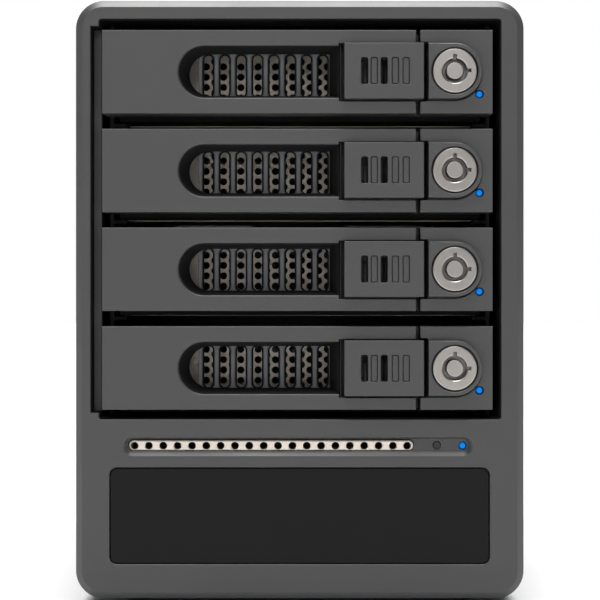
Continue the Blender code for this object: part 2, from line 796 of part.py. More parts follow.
def lock_core_mesh():
    core = cylinder("lock_core", (LOCK_CENTRE, 0), LOCK_R, FRONT - PROUD + 0.1, FRONT + 7.2, steps=24)
    face = FRONT - PROUD
    cut(
        core,
        prism(
            "key_groove",
            [circle(LOCK_CENTRE, 0, 3.68, 20), circle(LOCK_CENTRE, 0, 2.68, 20)],
            face - 1,
            face + 4.0,
        ),
        box("notch_top", (LOCK_CENTRE - 0.45, LOCK_CENTRE + 0.45), (face - 1, face + 3.0), (3.0, 4.95)),
        box("notch_side", (LOCK_CENTRE + 3.0, LOCK_CENTRE + 4.95), (face - 1, face + 3.0), (-0.45, 0.45)),
    )
    return bake(core)


def caddy_mesh():
    half, floor = CADDY_HALF, CADDY_FLOOR
    side = [
        (CADDY_FRONT, floor), (CADDY_BACK, floor), (CADDY_BACK, CADDY_WALL_TOP),
        (TRAY_BACK + GAP, CADDY_WALL_TOP), (TRAY_BACK + GAP, -12.0), (CADDY_FRONT, -12.0),
    ]
    caddy = box("caddy", (-half, half), (CADDY_FRONT, CADDY_BACK), (floor, floor + SHEET))
    join(
        caddy,
        prism("side_left", [side], -half, -half + SHEET, axis="X"),
        prism("side_right", [side], half - SHEET, half, axis="X"),
        box("front_wall", (-half, half), (CADDY_FRONT, CADDY_FRONT + SHEET), (floor, 12.3)),
    )
    return bake(caddy)


def trays():
    led = cylinder("led", TRAY_LED, 1.0, FRONT + 0.25, FRONT + 4.2, steps=12)
    pin = cylinder("pin", PIVOT, 1.0, -10.0, 10.0, "Z", 10)
    # name: mesh, material, origin (x, y) of the piece
    pieces = {
        "front": (tray_front_mesh(), TRAY_GREY, (0, FRONT)),
        "caddy": (caddy_mesh(), STEEL, (0, CADDY_FRONT)),
        "handle": (handle_mesh(), TRAY_GREY, PIVOT),
        "latch": (latch_mesh(), LATCH_GREY, (sum(LATCH) / 2, FRONT)),
        "lock_core": (lock_core_mesh(), NICKEL, (LOCK_CENTRE, FRONT)),
        "led": (bake(led), BLUE, (TRAY_LED[0], FRONT)),
        "hinge_pin": (bake(pin), SCREW, PIVOT),
    }
    for mesh, mat, (x, y) in pieces.values():
        mesh.transform(Matrix.Translation(-Vector((x, y, 0)) * MM))
        mesh.materials.clear()
        mesh.materials.append(mat)
        mesh.shade_smooth()
        mesh.set_sharp_from_angle(angle=math.radians(32))
    for n, z in enumerate(TRAY_Z, start=1):
        carrier = empty(f"tray_{n}_carrier", (0, FRONT, z), ROOT)
        made = {}
        for name, (mesh, mat, (x, y)) in pieces.items():
            obj = add(f"tray_{n}_{name}", mesh)
            obj.location = Vector((x, y, z)) * MM
            made[name] = obj
        for name, obj in made.items():
            hold(obj, made["handle"] if name == "latch" else carrier)


front_bezel()
outer_shell()
rear_panel()
rear_screws()
feet()
lower_front()
drive_cage()
backplane()
power_supply()
controller()
power_entry()
fan()
trays()
bpy.context.view_layer.update()
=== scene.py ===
"""The looks of the four-bay drive tower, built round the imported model."""

import math

import bmesh
import bpy
from mathutils import Matrix, Vector


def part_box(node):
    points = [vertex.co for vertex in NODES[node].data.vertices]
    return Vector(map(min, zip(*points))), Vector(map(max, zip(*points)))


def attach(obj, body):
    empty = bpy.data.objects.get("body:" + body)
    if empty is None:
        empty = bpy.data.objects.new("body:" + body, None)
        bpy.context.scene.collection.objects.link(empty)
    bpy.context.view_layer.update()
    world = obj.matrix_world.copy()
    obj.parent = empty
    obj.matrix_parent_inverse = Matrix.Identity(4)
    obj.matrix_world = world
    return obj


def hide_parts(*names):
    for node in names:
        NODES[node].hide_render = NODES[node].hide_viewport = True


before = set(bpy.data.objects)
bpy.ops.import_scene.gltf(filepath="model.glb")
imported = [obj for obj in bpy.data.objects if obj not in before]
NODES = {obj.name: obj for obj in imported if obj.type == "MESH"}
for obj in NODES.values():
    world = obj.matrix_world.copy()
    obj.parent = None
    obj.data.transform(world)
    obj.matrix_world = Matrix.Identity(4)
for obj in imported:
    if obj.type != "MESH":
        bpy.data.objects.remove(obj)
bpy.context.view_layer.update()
MM = 0.001


def span(node):
    """The node's box in millimetres: (x0, x1), (y0, y1), (z0, z1)."""
    low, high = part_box(node)
    return tuple((low[i] / MM, high[i] / MM) for i in range(3))


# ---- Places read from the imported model, in millimetres ----------------------------------
(LEFT, RIGHT), (F, BEZEL_BACK), (BOTTOM, TOP) = span("front_bezel")
SHELL_Y = span("outer_shell")[1]
PANEL_Y = span("rear_panel")[1]
TRAYS = [1, 2, 3, 4]
TRAY_Z = {n: sum(span(f"tray_{n}_handle")[2]) / 2 for n in TRAYS}
HANDLE_X, HANDLE_Y, _ = span("tray_1_handle")
HALF = (span("tray_1_handle")[2][1] - span("tray_1_handle")[2][0]) / 2
LATCH_X, LATCH_Y, _ = span("tray_1_latch")
CORE_X, CORE_Y, _ = span("tray_1_lock_core")
LOCK_CX = sum(CORE_X) / 2
LOCK_R = (CORE_X[1] - CORE_X[0]) / 2
LED_X, LED_Y, LED_Z = span("tray_1_led")
LED_AT = (sum(LED_X) / 2, sum(LED_Z) / 2 - TRAY_Z[1])
PIN_X, PIN_Y, _ = span("tray_1_hinge_pin")
PIVOT = (sum(PIN_X) / 2, sum(PIN_Y) / 2)
FRONT_X = span("tray_1_front")[0]
PLATE_BACK = F + 11.5
CADDY_X, CADDY_Y, CADDY_Z = span("tray_1_caddy")
PROUD = F - LATCH_Y[0]
FRONT_FACE = F

# ---- Collections and helpers ------------------------------------------------------------
LOOKS = bpy.data.collections.new("looks")
bpy.context.scene.collection.children.link(LOOKS)


def arc(cx, cz, radius, start, end, steps):
    angles = [math.radians(start + (end - start) * i / steps) for i in range(steps + 1)]
    return [(cx + radius * math.cos(a), cz + radius * math.sin(a)) for a in angles]


def circle(cx, cz, radius, steps):
    return arc(cx, cz, radius, 0, 360, steps)[:-1]


def rounded_rect(x0, x1, z0, z1, radius, steps):
    return (
        arc(x1 - radius, z0 + radius, radius, -90, 0, steps)
        + arc(x1 - radius, z1 - radius, radius, 0, 90, steps)
        + arc(x0 + radius, z1 - radius, radius, 90, 180, steps)
        + arc(x0 + radius, z0 + radius, radius, 180, 270, steps)
    )


def add(name, mesh):
    obj = bpy.data.objects.new(name, mesh)
    LOOKS.objects.link(obj)
    return obj


def from_bmesh(name, bm):
    bmesh.ops.recalc_face_normals(bm, faces=bm.faces)
    mesh = bpy.data.meshes.new(name)
    bm.to_mesh(mesh)
    bm.free()
    return add(name, mesh)


def place(axis, u, v, w):
    """(u, v) on the outline and w along the axis, as X, Y, Z."""
    return {"Y": (u, w, v), "Z": (u, v, w), "X": (w, u, v)}[axis]


def loft(name, sections, axis="Y"):
    """A closed solid through outlines of equal length: [(outline, position along the axis), ...]."""
    bm = bmesh.new()
    rings = [
        [bm.verts.new(Vector(place(axis, u, v, w)) * MM) for u, v in outline]
        for outline, w in sections
    ]
    for a, b in zip(rings, rings[1:]):
        for i in range(len(a)):
            j = (i + 1) % len(a)
            bm.faces.new((a[i], a[j], b[j], b[i]))
    bm.faces.new(rings[0][::-1])
    bm.faces.new(rings[-1])
    return from_bmesh(name, bm)


def prism(name, outline, low, high, axis="Y"):
    return loft(name, [(outline, low), (outline, high)], axis)


def box(name, x, y, z, bevel=0.0, segments=2):
    bm = bmesh.new()
    bmesh.ops.create_cube(bm, size=1.0)
    size = Vector((x[1] - x[0], y[1] - y[0], z[1] - z[0])) * MM
    middle = Vector((x[0] + x[1], y[0] + y[1], z[0] + z[1])) * MM / 2
    bmesh.ops.scale(bm, vec=size, verts=bm.verts)
    bmesh.ops.translate(bm, vec=middle, verts=bm.verts)
    if bevel:
        bmesh.ops.bevel(
            bm, geom=bm.edges[:], offset=bevel * MM, segments=segments, profile=0.5, affect="EDGES"
        )
    return from_bmesh(name, bm)


def turned(name, centre, profile, steps=48, axis="Y"):
    """A solid of revolution: profile is [(radius, position along the axis), ...], ends closed."""
    bm = bmesh.new()
    rings = []
    for radius, w in profile:
        if radius < 1e-6:
            rings.append([bm.verts.new(Vector(place(axis, centre[0], centre[1], w)) * MM)])
        else:
            rings.append(
                [
                    bm.verts.new(Vector(place(axis, u, v, w)) * MM)
                    for u, v in circle(centre[0], centre[1], radius, steps)
                ]
            )
    for a, b in zip(rings, rings[1:]):
        for i in range(steps):
            j = (i + 1) % steps
            corners = (
                ([a[0]] if len(a) == 1 else [a[i], a[j]])
                + ([b[0]] if len(b) == 1 else [b[j], b[i]])
            )
            bm.faces.new(corners)
    for ring in (rings[0], rings[-1]):
        if len(ring) > 1:
            bm.faces.new(ring)
    return from_bmesh(name, bm)


def cylinder(name, centre, radius, low, high, axis="Y", steps=24):
    return turned(name, centre, [(radius, low), (radius, high)], steps, axis)


def rim(obj, axis, position, width, region=None, segments=3):
    """Rounds the sharp edges that lie in one plane, or only those inside region (x0, x1, z0, z1)."""
    k = "XYZ".index(axis)
    x0, x1, z0, z1 = region or (-1e4, 1e4, -1e4, 1e4)
    bm = bmesh.new()
    bm.from_mesh(obj.data)
    edges = [
        e
        for e in bm.edges
        if all(abs(v.co[k] - position * MM) < 2e-6 for v in e.verts)
        and all(x0 * MM < v.co.x < x1 * MM and z0 * MM < v.co.z < z1 * MM for v in e.verts)
        and len(e.link_faces) == 2
        and e.calc_face_angle(0) > math.radians(25)
    ]
    bmesh.ops.bevel(
        bm, geom=edges, offset=width * MM, segments=segments, profile=0.5, affect="EDGES"
    )
    bm.to_mesh(obj.data)
    bm.free()
    return obj


def combine(target, operation, others):
    for other in others:
        modifier = target.modifiers.new(operation.title(), "BOOLEAN")
        modifier.operation = operation
        modifier.solver = "EXACT"
        modifier.object = other
    return target


def cut(target, *others):
    return combine(target, "DIFFERENCE", others)


def join(target, *others):
    return combine(target, "UNION", others)


def bake(obj, *rims):
    """Applies the Booleans, rounds the sharp edges in the planes asked for, and shades the result.

    Each entry of rims is (axis, position, width) or (axis, position, width, region)."""
    helpers = [m.object for m in obj.modifiers if m.type == "BOOLEAN"]
    bpy.context.view_layer.update()
    graph = bpy.context.evaluated_depsgraph_get()
    mesh = bpy.data.meshes.new_from_object(obj.evaluated_get(graph))
    obj.modifiers.clear()
    obj.data = mesh
    for helper in helpers:
        bpy.data.objects.remove(helper)
    bm = bmesh.new()
    bm.from_mesh(mesh)
    bmesh.ops.remove_doubles(bm, verts=bm.verts, dist=2e-6)
    bmesh.ops.dissolve_limit(bm, angle_limit=math.radians(0.1), verts=bm.verts, edges=bm.edges)
    bm.to_mesh(mesh)
    bm.free()
    for entry in rims:
        rim(obj, *entry)
    mesh.shade_smooth()
    mesh.set_sharp_from_angle(angle=math.radians(32))
    weigh = obj.modifiers.new("Weigh", "WEIGHTED_NORMAL")
    weigh.keep_sharp = True
    weigh.weight = 90
    bpy.context.view_layer.update()
    graph = bpy.context.evaluated_depsgraph_get()
    made = bpy.data.meshes.new_from_object(obj.evaluated_get(graph))
    obj.modifiers.clear()
    obj.data = made
    return obj


# ---- Materials ----------------------------------------------------------------------------
def new_material(name, colour, roughness, metallic=0.0, spec=0.5, coat=0.0, coat_rough=0.05):
    mat = bpy.data.materials.new(name)
    mat.use_nodes = True
    shader = mat.node_tree.nodes["Principled BSDF"]
    shader.inputs["Base Color"].default_value = (*colour, 1.0)
    shader.inputs["Roughness"].default_value = roughness
    shader.inputs["Metallic"].default_value = metallic
    shader.inputs["Specular IOR Level"].default_value = spec
    shader.inputs["Coat Weight"].default_value = coat
    shader.inputs["Coat Roughness"].default_value = coat_rough
    return mat


def surface(
    name, colour, roughness, metallic=0.0, spec=0.5, coat=0.0,
    grain=1800.0, grain_depth=0.00002, mottle=60.0, tint=0.10, rough_swing=0.08,
    stretch=(1.0, 1.0, 1.0), tint_to=None,
):
    """A surface with a fine grain in its bump and a slow drift in its colour and roughness."""
    mat = new_material(name, colour, roughness, metallic, spec, coat)
    tree = mat.node_tree
    nodes, links = tree.nodes, tree.links
    shader = nodes["Principled BSDF"]
    coords = nodes.new("ShaderNodeTexCoord")
    mapping = nodes.new("ShaderNodeMapping")
    mapping.inputs["Scale"].default_value = stretch
    links.new(coords.outputs["Object"], mapping.inputs["Vector"])

    fine = nodes.new("ShaderNodeTexNoise")
    fine.inputs["Scale"].default_value = grain
    fine.inputs["Detail"].default_value = 3.0
    fine.inputs["Roughness"].default_value = 0.6
    slow = nodes.new("ShaderNodeTexNoise")
    slow.inputs["Scale"].default_value = mottle
    slow.inputs["Detail"].default_value = 4.0
    for noise in (fine, slow):
        links.new(mapping.outputs["Vector"], noise.inputs["Vector"])

    mix = nodes.new("ShaderNodeMix")
    mix.data_type = "RGBA"
    dark = tuple(c * (1.0 - tint) for c in colour)
    light = tint_to or tuple(min(1.0, c * (1.0 + tint)) for c in colour)
    mix.inputs[6].default_value = (*dark, 1.0)
    mix.inputs[7].default_value = (*light, 1.0)
    both = nodes.new("ShaderNodeMath")
    both.operation = "MULTIPLY_ADD"
    both.inputs[1].default_value = 0.35
    links.new(fine.outputs["Fac"], both.inputs[0])
    half = nodes.new("ShaderNodeMath")
    half.operation = "MULTIPLY"
    half.inputs[1].default_value = 0.65
    links.new(slow.outputs["Fac"], half.inputs[0])
    links.new(half.outputs[0], both.inputs[2])
    links.new(both.outputs[0], mix.inputs[0])
    links.new(mix.outputs[2], shader.inputs["Base Color"])

    swing = nodes.new("ShaderNodeMapRange")
    swing.inputs["From Min"].default_value = 0.3
    swing.inputs["From Max"].default_value = 0.7
    swing.inputs["To Min"].default_value = max(0.02, roughness - rough_swing)
    swing.inputs["To Max"].default_value = min(1.0, roughness + rough_swing)
    links.new(slow.outputs["Fac"], swing.inputs["Value"])
    links.new(swing.outputs["Result"], shader.inputs["Roughness"])

    bump = nodes.new("ShaderNodeBump")
    bump.inputs["Strength"].default_value = 1.0
    bump.inputs["Distance"].default_value = grain_depth
    links.new(fine.outputs["Fac"], bump.inputs["Height"])
    links.new(bump.outputs["Normal"], shader.inputs["Normal"])
    return mat


def turned_metal(name, colour, roughness, shade_depth):
    """Metal faced on a lathe: fine rings about the piece's own Y axis, and painted shade that darkens the colour deeper
    than the depth given.
    """
    mat = new_material(name, colour, roughness, metallic=1.0)
    nodes, links = mat.node_tree.nodes, mat.node_tree.links
    shader = nodes["Principled BSDF"]
    coords = nodes.new("ShaderNodeTexCoord")
    split = nodes.new("ShaderNodeSeparateXYZ")
    links.new(coords.outputs["Object"], split.inputs[0])
    flat = nodes.new("ShaderNodeCombineXYZ")
    links.new(split.outputs["X"], flat.inputs["X"])
    links.new(split.outputs["Z"], flat.inputs["Y"])
    radius = nodes.new("ShaderNodeVectorMath")
    radius.operation = "LENGTH"
    links.new(flat.outputs[0], radius.inputs[0])
    ring = nodes.new("ShaderNodeTexNoise")
    ring.noise_dimensions = "1D"
    ring.inputs["Scale"].default_value = 6500.0
    ring.inputs["Detail"].default_value = 2.0
    links.new(radius.outputs["Value"], ring.inputs["W"])
    cloud = nodes.new("ShaderNodeTexNoise")
    cloud.inputs["Scale"].default_value = 260.0
    cloud.inputs["Detail"].default_value = 3.0
    links.new(coords.outputs["Object"], cloud.inputs["Vector"])
    total = nodes.new("ShaderNodeMath")
    total.operation = "ADD"
    links.new(ring.outputs["Fac"], total.inputs[0])
    links.new(cloud.outputs["Fac"], total.inputs[1])
    mix = nodes.new("ShaderNodeMix")
    mix.data_type = "RGBA"
    mix.inputs[6].default_value = (*(c * 0.93 for c in colour), 1.0)
    mix.inputs[7].default_value = (*(min(1, c * 1.06) for c in colour), 1.0)
    scale = nodes.new("ShaderNodeMath")
    scale.operation = "MULTIPLY"
    scale.inputs[1].default_value = 0.5
    links.new(total.outputs[0], scale.inputs[0])
    links.new(scale.outputs[0], mix.inputs[0])
    # Painted shade: the colour falls to 0.55 behind the front, in the barrel's groove and notches.
    recess_shade = nodes.new("ShaderNodeMapRange")
    recess_shade.inputs["From Min"].default_value = shade_depth
    recess_shade.inputs["From Max"].default_value = shade_depth + 0.0012
    recess_shade.inputs["To Min"].default_value = 1.0
    recess_shade.inputs["To Max"].default_value = 0.55
    links.new(split.outputs["Y"], recess_shade.inputs["Value"])
    shaded_colour = nodes.new("ShaderNodeVectorMath")
    shaded_colour.operation = "SCALE"
    links.new(mix.outputs[2], shaded_colour.inputs[0])
    links.new(recess_shade.outputs["Result"], shaded_colour.inputs["Scale"])
    links.new(shaded_colour.outputs[0], shader.inputs["Base Color"])
    swing = nodes.new("ShaderNodeMapRange")
    swing.inputs["To Min"].default_value = roughness - 0.07
    swing.inputs["To Max"].default_value = roughness + 0.09
    links.new(cloud.outputs["Fac"], swing.inputs["Value"])
    links.new(swing.outputs["Result"], shader.inputs["Roughness"])
    bump = nodes.new("ShaderNodeBump")
    bump.inputs["Distance"].default_value = 0.000006
    links.new(ring.outputs["Fac"], bump.inputs["Height"])
    links.new(bump.outputs["Normal"], shader.inputs["Normal"])
    return mat


def lit_lens(name, colour, dark, strength):
    """A lit lens with a slightly uneven glow."""
    mat = new_material(name, dark, 0.4, spec=0.1)
    nodes, links = mat.node_tree.nodes, mat.node_tree.links
    shader = nodes["Principled BSDF"]
    coords = nodes.new("ShaderNodeTexCoord")
    noise = nodes.new("ShaderNodeTexNoise")
    noise.inputs["Scale"].default_value = 900.0
    links.new(coords.outputs["Object"], noise.inputs["Vector"])
    mix = nodes.new("ShaderNodeMix")
    mix.data_type = "RGBA"
    mix.inputs[6].default_value = (colour[0] * 0.9, colour[1] * 0.9, colour[2] * 0.95, 1.0)
    mix.inputs[7].default_value = (colour[0] * 1.1, colour[1] * 1.15, colour[2] * 1.05, 1.0)
    links.new(noise.outputs["Fac"], mix.inputs[0])
    split = nodes.new("ShaderNodeSeparateXYZ")
    links.new(coords.outputs["Object"], split.inputs[0])
    flat = nodes.new("ShaderNodeCombineXYZ")
    links.new(split.outputs["X"], flat.inputs["X"])
    links.new(split.outputs["Z"], flat.inputs["Y"])
    radius = nodes.new("ShaderNodeVectorMath")
    radius.operation = "LENGTH"
    links.new(flat.outputs[0], radius.inputs[0])
    edge = nodes.new("ShaderNodeMapRange")
    edge.inputs["From Min"].default_value = 0.00070
    edge.inputs["From Max"].default_value = 0.00102
    edge.inputs["To Min"].default_value = 1.0
    edge.inputs["To Max"].default_value = 0.12
    links.new(radius.outputs["Value"], edge.inputs["Value"])
    glow = nodes.new("ShaderNodeVectorMath")
    glow.operation = "SCALE"
    links.new(mix.outputs[2], glow.inputs[0])
    links.new(edge.outputs["Result"], glow.inputs["Scale"])
    links.new(glow.outputs[0], shader.inputs["Emission Color"])
    shader.inputs["Emission Strength"].default_value = strength
    swing = nodes.new("ShaderNodeMapRange")
    swing.inputs["To Min"].default_value = 0.35
    swing.inputs["To Max"].default_value = 0.5
    links.new(noise.outputs["Fac"], swing.inputs["Value"])
    links.new(swing.outputs["Result"], shader.inputs["Roughness"])
    return mat


PAINT = surface("front_paint", (0.050, 0.050, 0.050), 0.42, spec=0.5, grain=2600, grain_depth=0.000012, mottle=45, tint=0.03, rough_swing=0.04)
SHELL = surface("shell_paint", (0.050, 0.050, 0.050), 0.46, spec=0.5, grain=2000, grain_depth=0.00002, mottle=90, tint=0.02, rough_swing=0.02)
PLASTIC = surface("tray_plastic", (0.051, 0.051, 0.051), 0.45, spec=0.5, grain=3000, grain_depth=0.000012, mottle=55, tint=0.03, rough_swing=0.04)
BUTTON = surface("button_plastic", (0.022, 0.022, 0.022), 0.5, spec=0.4, grain=3000, grain_depth=0.000012, mottle=55, tint=0.1)
GRILLE = surface("grille_plastic", (0.088, 0.091, 0.095), 0.40, spec=0.5, grain=3200, grain_depth=0.00001, mottle=80, tint=0.08)
CADDY = surface("caddy_steel", (0.52, 0.475, 0.425), 0.42, metallic=0.85, grain=2500, grain_depth=0.000008, mottle=120, tint=0.12, stretch=(1, 1, 6))
STEEL = surface("cage_steel", (0.012, 0.012, 0.012), 0.6, metallic=0.0, spec=0.2, grain=2500, grain_depth=0.00001, mottle=80, tint=0.15)
ZINC = surface("zinc_steel", (0.46, 0.46, 0.44), 0.38, metallic=1.0, grain=1500, grain_depth=0.000008, mottle=140, tint=0.16)
STRIP = surface("strip_metal", (0.78, 0.70, 0.61), 0.38, metallic=0.25, grain=2200, grain_depth=0.000006, mottle=160, tint=0.08, stretch=(0.25, 4, 4))
WINDOW = surface("window_gloss", (0.0050, 0.0050, 0.0050), 0.16, spec=0.12, grain=900, grain_depth=0.000001, mottle=30, tint=0.12, rough_swing=0.04)
BLACK = surface("black_plastic", (0.018, 0.018, 0.018), 0.48, grain=2400, grain_depth=0.00001, mottle=70, tint=0.15)
# Painted shade: a near-black sheet for walls, gaps and slot edges that fall into shade.
SHADE_BLACK = surface("bay_painted_shade", (0.006, 0.006, 0.006), 0.8, spec=0.15, grain=2400, grain_depth=0.00001, mottle=70, tint=0.2)
FOAM = surface("filter_foam", (0.012, 0.012, 0.012), 0.95, spec=0.1, grain=700, grain_depth=0.0006, mottle=300, tint=0.6)
# Painted shade: near-black for the finger opening's walls, which fall into shade.
CUP_SHADE = surface("finger_cup_shade", (0.005, 0.005, 0.005), 0.7, spec=0.2, grain=2400, grain_depth=0.00001, mottle=60, tint=0.12)
WIRE = surface("black_steel", (0.022, 0.022, 0.022), 0.32, metallic=0.2, coat=0.2, grain=1800, grain_depth=0.000006, mottle=90, tint=0.15)
RUBBER = surface("foot_rubber", (0.02, 0.02, 0.02), 0.82, spec=0.3, grain=1600, grain_depth=0.00004, mottle=60, tint=0.2)
BOARD = surface("board", (0.012, 0.075, 0.03), 0.35, coat=0.4, grain=900, grain_depth=0.00001, mottle=120, tint=0.3)
PORT = surface("port_metal", (0.62, 0.62, 0.60), 0.28, metallic=1.0, grain=1800, grain_depth=0.000005, mottle=150, tint=0.1)
NICKEL = turned_metal("lock_nickel", (0.37, 0.352, 0.335), 0.32, (CORE_Y[0] - F + 0.35) * MM)
PIN = surface("pin_steel", (0.5, 0.5, 0.5), 0.3, metallic=1.0, grain=1800, grain_depth=0.000004, mottle=150, tint=0.1)
BLUE = lit_lens("blue_light", (0.002, 0.215, 0.80), (0.0, 0.02, 0.08), 1.0)


def dress(obj, mat):
    obj.data.materials.clear()
    obj.data.materials.append(mat)
    return obj


def own(obj, mat, body, slot, *replaced):
    """Finishes a piece: its material, the body that it rides on, and the nodes it stands for."""
    dress(obj, mat)
    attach(obj, body)
    if replaced:
        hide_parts(*replaced)
    return obj


def at_own_centre(obj, origin):
    """Moves the object's origin to this point, in millimetres, without moving the shape."""
    centre = Vector(origin) * MM
    obj.data.transform(Matrix.Translation(-centre))
    obj.location = centre
    return obj


def per_tray(obj, stem, mat, body, node=None, origin=(0.0, 0.0)):
    """One copy of a tray piece, drawn about z = 0, for each tray."""
    at_own_centre(obj, (origin[0], origin[1], 0.0))
    dress(obj, mat)
    mesh = obj.data
    bpy.data.objects.remove(obj)
    for n in TRAYS:
        copy = add(f"tray_{n}_{stem}", mesh)
        copy.location = Vector((origin[0], origin[1], TRAY_Z[n])) * MM
        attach(copy, body.format(n))
        if node:
            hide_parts(node.format(n))


# ---- Casing -------------------------------------------------------------------------------
CORNER = 8.5
BAY = (-60.75, 60.85, 57.4, 178.5)
CHAMFER = 2.2
OUTLINE = rounded_rect(LEFT, RIGHT, BOTTOM, TOP, CORNER, 18)


def inset(amount, outline_radius=CORNER, steps=18):
    return rounded_rect(
        LEFT + amount, RIGHT - amount, BOTTOM + amount, TOP - amount, outline_radius - amount, steps
    )


def casing():
    # The front edge: a flat chamfer with a small radius where it meets the side and the face.
    bezel = loft(
        "bezel",
        [
            (inset(CHAMFER + 0.12), F),
            (inset(CHAMFER - 0.12), F + 0.10),
            (inset(0.12), F + CHAMFER - 0.12),
            (inset(0.0), F + CHAMFER + 0.12),
            (inset(0.0), BEZEL_BACK - 0.15),
            (inset(0.15), BEZEL_BACK),
        ],
    )
    sx, _, sz = span("vent_strip")
    wx, _, wz = span("front_window")
    bx, _, bz = span("mute_button")
    lx, _, lz = span("status_led")
    mouth = rounded_rect(-53.3, 52.1, 46.3, 52.1, 2.85, 10)
    floor = rounded_rect(-52.2, 51.0, 47.9, 51.46, 1.76, 10)
    above = [(m[0] + (m[0] - f[0]) * 1.2, m[1] + (m[1] - f[1]) * 1.2) for m, f in zip(mouth, floor)]
    cut(
        bezel,
        prism("bay", rounded_rect(*BAY, 0.9, 6), F - 2, BEZEL_BACK + 2),
        box("notch", (-63.2, -60.0), (F - 2, F + 7.6), (59.4, 176.3)),
        loft("vent", [(above, F - 1.8), (floor, F + 1.5)]),
        prism("strip_seat", rounded_rect(sx[0] - 0.3, sx[1] + 0.3, sz[0] - 0.3, sz[1] + 0.3, 1.7, 8), F + 0.9, F + 3.4),
        box("strip_slot", (sx[0] + 0.9, sx[1] - 0.9), (F + 3, BEZEL_BACK + 2), (48.2, 50.6)),
        prism("window_seat", rounded_rect(wx[0] - 0.3, wx[1] + 0.3, wz[0] - 0.3, wz[1] + 0.3, 2.3, 8), F - 2, F + 2.9),
        cylinder("button_hole", (sum(bx) / 2, sum(bz) / 2), 1.3, F - 2, BEZEL_BACK + 2),
        cylinder("status_hole", (sum(lx) / 2, sum(lz) / 2), 1.28, F - 2, BEZEL_BACK + 2),
    )
    bake(bezel, ("Y", F, 0.3))
    own(bezel, PAINT, "root", "front_paint", "front_bezel")

    # The bay's painted shade: a near-black sheet over the bay's walls; three strips and the wall beside the handles
    # stay bare.
    x0, x1, z0, z1 = BAY
    bay_shade_sheet = prism("bay_shade_sheet", rounded_rect(x0 + 0.02, x1 - 0.02, z0 + 0.02, z1 - 0.02, 0.9, 6), F + 0.55, BEZEL_BACK - 0.1)
    cut(
        bay_shade_sheet,
        prism("inner", rounded_rect(x0 + 0.27, x1 - 0.27, z0 + 0.27, z1 - 0.27, 0.7, 6), F - 2, BEZEL_BACK + 2),
        box("beside", (x0 - 3, x0 + 3), (F - 1, F + 7.7), (59.3, 176.4)),
    )
    bake(bay_shade_sheet)
    own(bay_shade_sheet, SHADE_BLACK, "root", "black_plastic")
    # Painted shade on the notch's side wall and its two ends, as a near-black sheet.
    side = box("side", (-63.18, -63.0), (F + 0.5, F + 7.55), (59.45, 176.25))
    join(side, box("side_top", (-63.18, x0 - 0.02), (F + 0.5, F + 7.55), (176.1, 176.28)), box("side_low", (-63.18, x0 - 0.02), (F + 0.5, F + 7.55), (59.42, 59.6)))
    bake(side)
    side.name = "notch_shade_sheet"
    own(side, SHADE_BLACK, "root", "black_plastic")

    shell = loft(
        "shell",
        [
            (inset(0.15), SHELL_Y[0]),
            (inset(0.0), SHELL_Y[0] + 0.15),
            (inset(0.0), SHELL_Y[1] - 0.15),
            (inset(0.15), SHELL_Y[1]),
        ],
    )
    x0, x1, z0, z1 = 57.5, RIGHT - 1.7, BOTTOM + 1.7, TOP - 1.7
    half = [(x0, z0), (x0, 14.0), (x1, 14.0), (x1, 173.0), (x0, 173.0), (x0, z1)]
    cut(
        shell,
        prism("hollow", inset(1.5), SHELL_Y[0] - 2, 93.0),
        prism("rear_hollow", half + [(-x, z) for x, z in reversed(half)], 90.0, SHELL_Y[1] + 2),
    )
    bake(shell)
    own(shell, SHELL, "root", "shell_paint", "outer_shell")

    panel = loft(
        "panel",
        [
            (inset(0.2), PANEL_Y[0]),
            (inset(0.0), PANEL_Y[0] + 0.2),
            (inset(0.0), PANEL_Y[1] - 0.4),
            (inset(0.12), PANEL_Y[1] - 0.12),
            (inset(0.4), PANEL_Y[1]),
        ],
    )
    holes = [cylinder("fan_hole", (0, 118.0), 38.0, PANEL_Y[0] - 2, PANEL_Y[1] + 2, steps=96)]
    for node, grow in (("power_inlet", None), ("switch_frame", None), ("data_port_1", 0.3), ("data_port_2", 0.3)):
        x, _, z = span(node)
        if grow is None:
            cx, cz = sum(x) / 2, sum(z) / 2
            w = 13.5 if node == "power_inlet" else 6.1
            x, z, grow = (cx - w, cx + w), (cz - 10, cz + 10), 0.0
        holes.append(box("hole", (x[0] - grow, x[1] + grow), (PANEL_Y[0] - 2, PANEL_Y[1] + 2), (z[0] - grow, z[1] + grow)))
    cut(panel, *holes)
    bake(panel)
    own(panel, SHELL, "root", "shell_paint", "rear_panel")


def screws_and_feet():
    for n in TRAYS:
        x, y, z = span(f"rear_screw_{n}")
        c = (sum(x) / 2, sum(z) / 2)
        screw = turned(
            "screw", c,
            [(1.3, y[0]), (1.3, PANEL_Y[1] + 0.3), (2.6, PANEL_Y[1] + 0.3), (2.6, y[1] - 0.95),
             (2.45, y[1] - 0.5), (2.1, y[1] - 0.2), (1.5, y[1] - 0.05), (0.0, y[1])],
            steps=40,
        )
        cut(
            screw,
            box("a", (c[0] - 1.35, c[0] + 1.35), (y[1] - 0.85, y[1] + 1), (c[1] - 0.32, c[1] + 0.32), 0.1, 1),
            box("b", (c[0] - 0.32, c[0] + 0.32), (y[1] - 0.85, y[1] + 1), (c[1] - 1.35, c[1] + 1.35), 0.1, 1),
        )
        bake(screw)
        screw.name = f"panel_screw_{n}"
        own(screw, WIRE, "root", "black_steel", f"rear_screw_{n}")

        x, y, z = span(f"foot_{n}")
        c = (sum(x) / 2, sum(y) / 2)
        foot = turned(
            "foot", c,
            [(2.2, z[0] + 1.6), (2.2, z[0] + 0.35), (2.6, z[0]), (5.6, z[0]), (6.05, z[0] + 0.12), (6.25, z[0] + 0.5),
             (6.85, z[1] - 0.5), (7.0, z[1] - 0.25), (7.0, z[1])],
            steps=56, axis="Z",
        )
        bake(foot)
        foot.name = f"rubber_foot_{n}"
        own(foot, RUBBER, "root", "foot_rubber", f"foot_{n}")


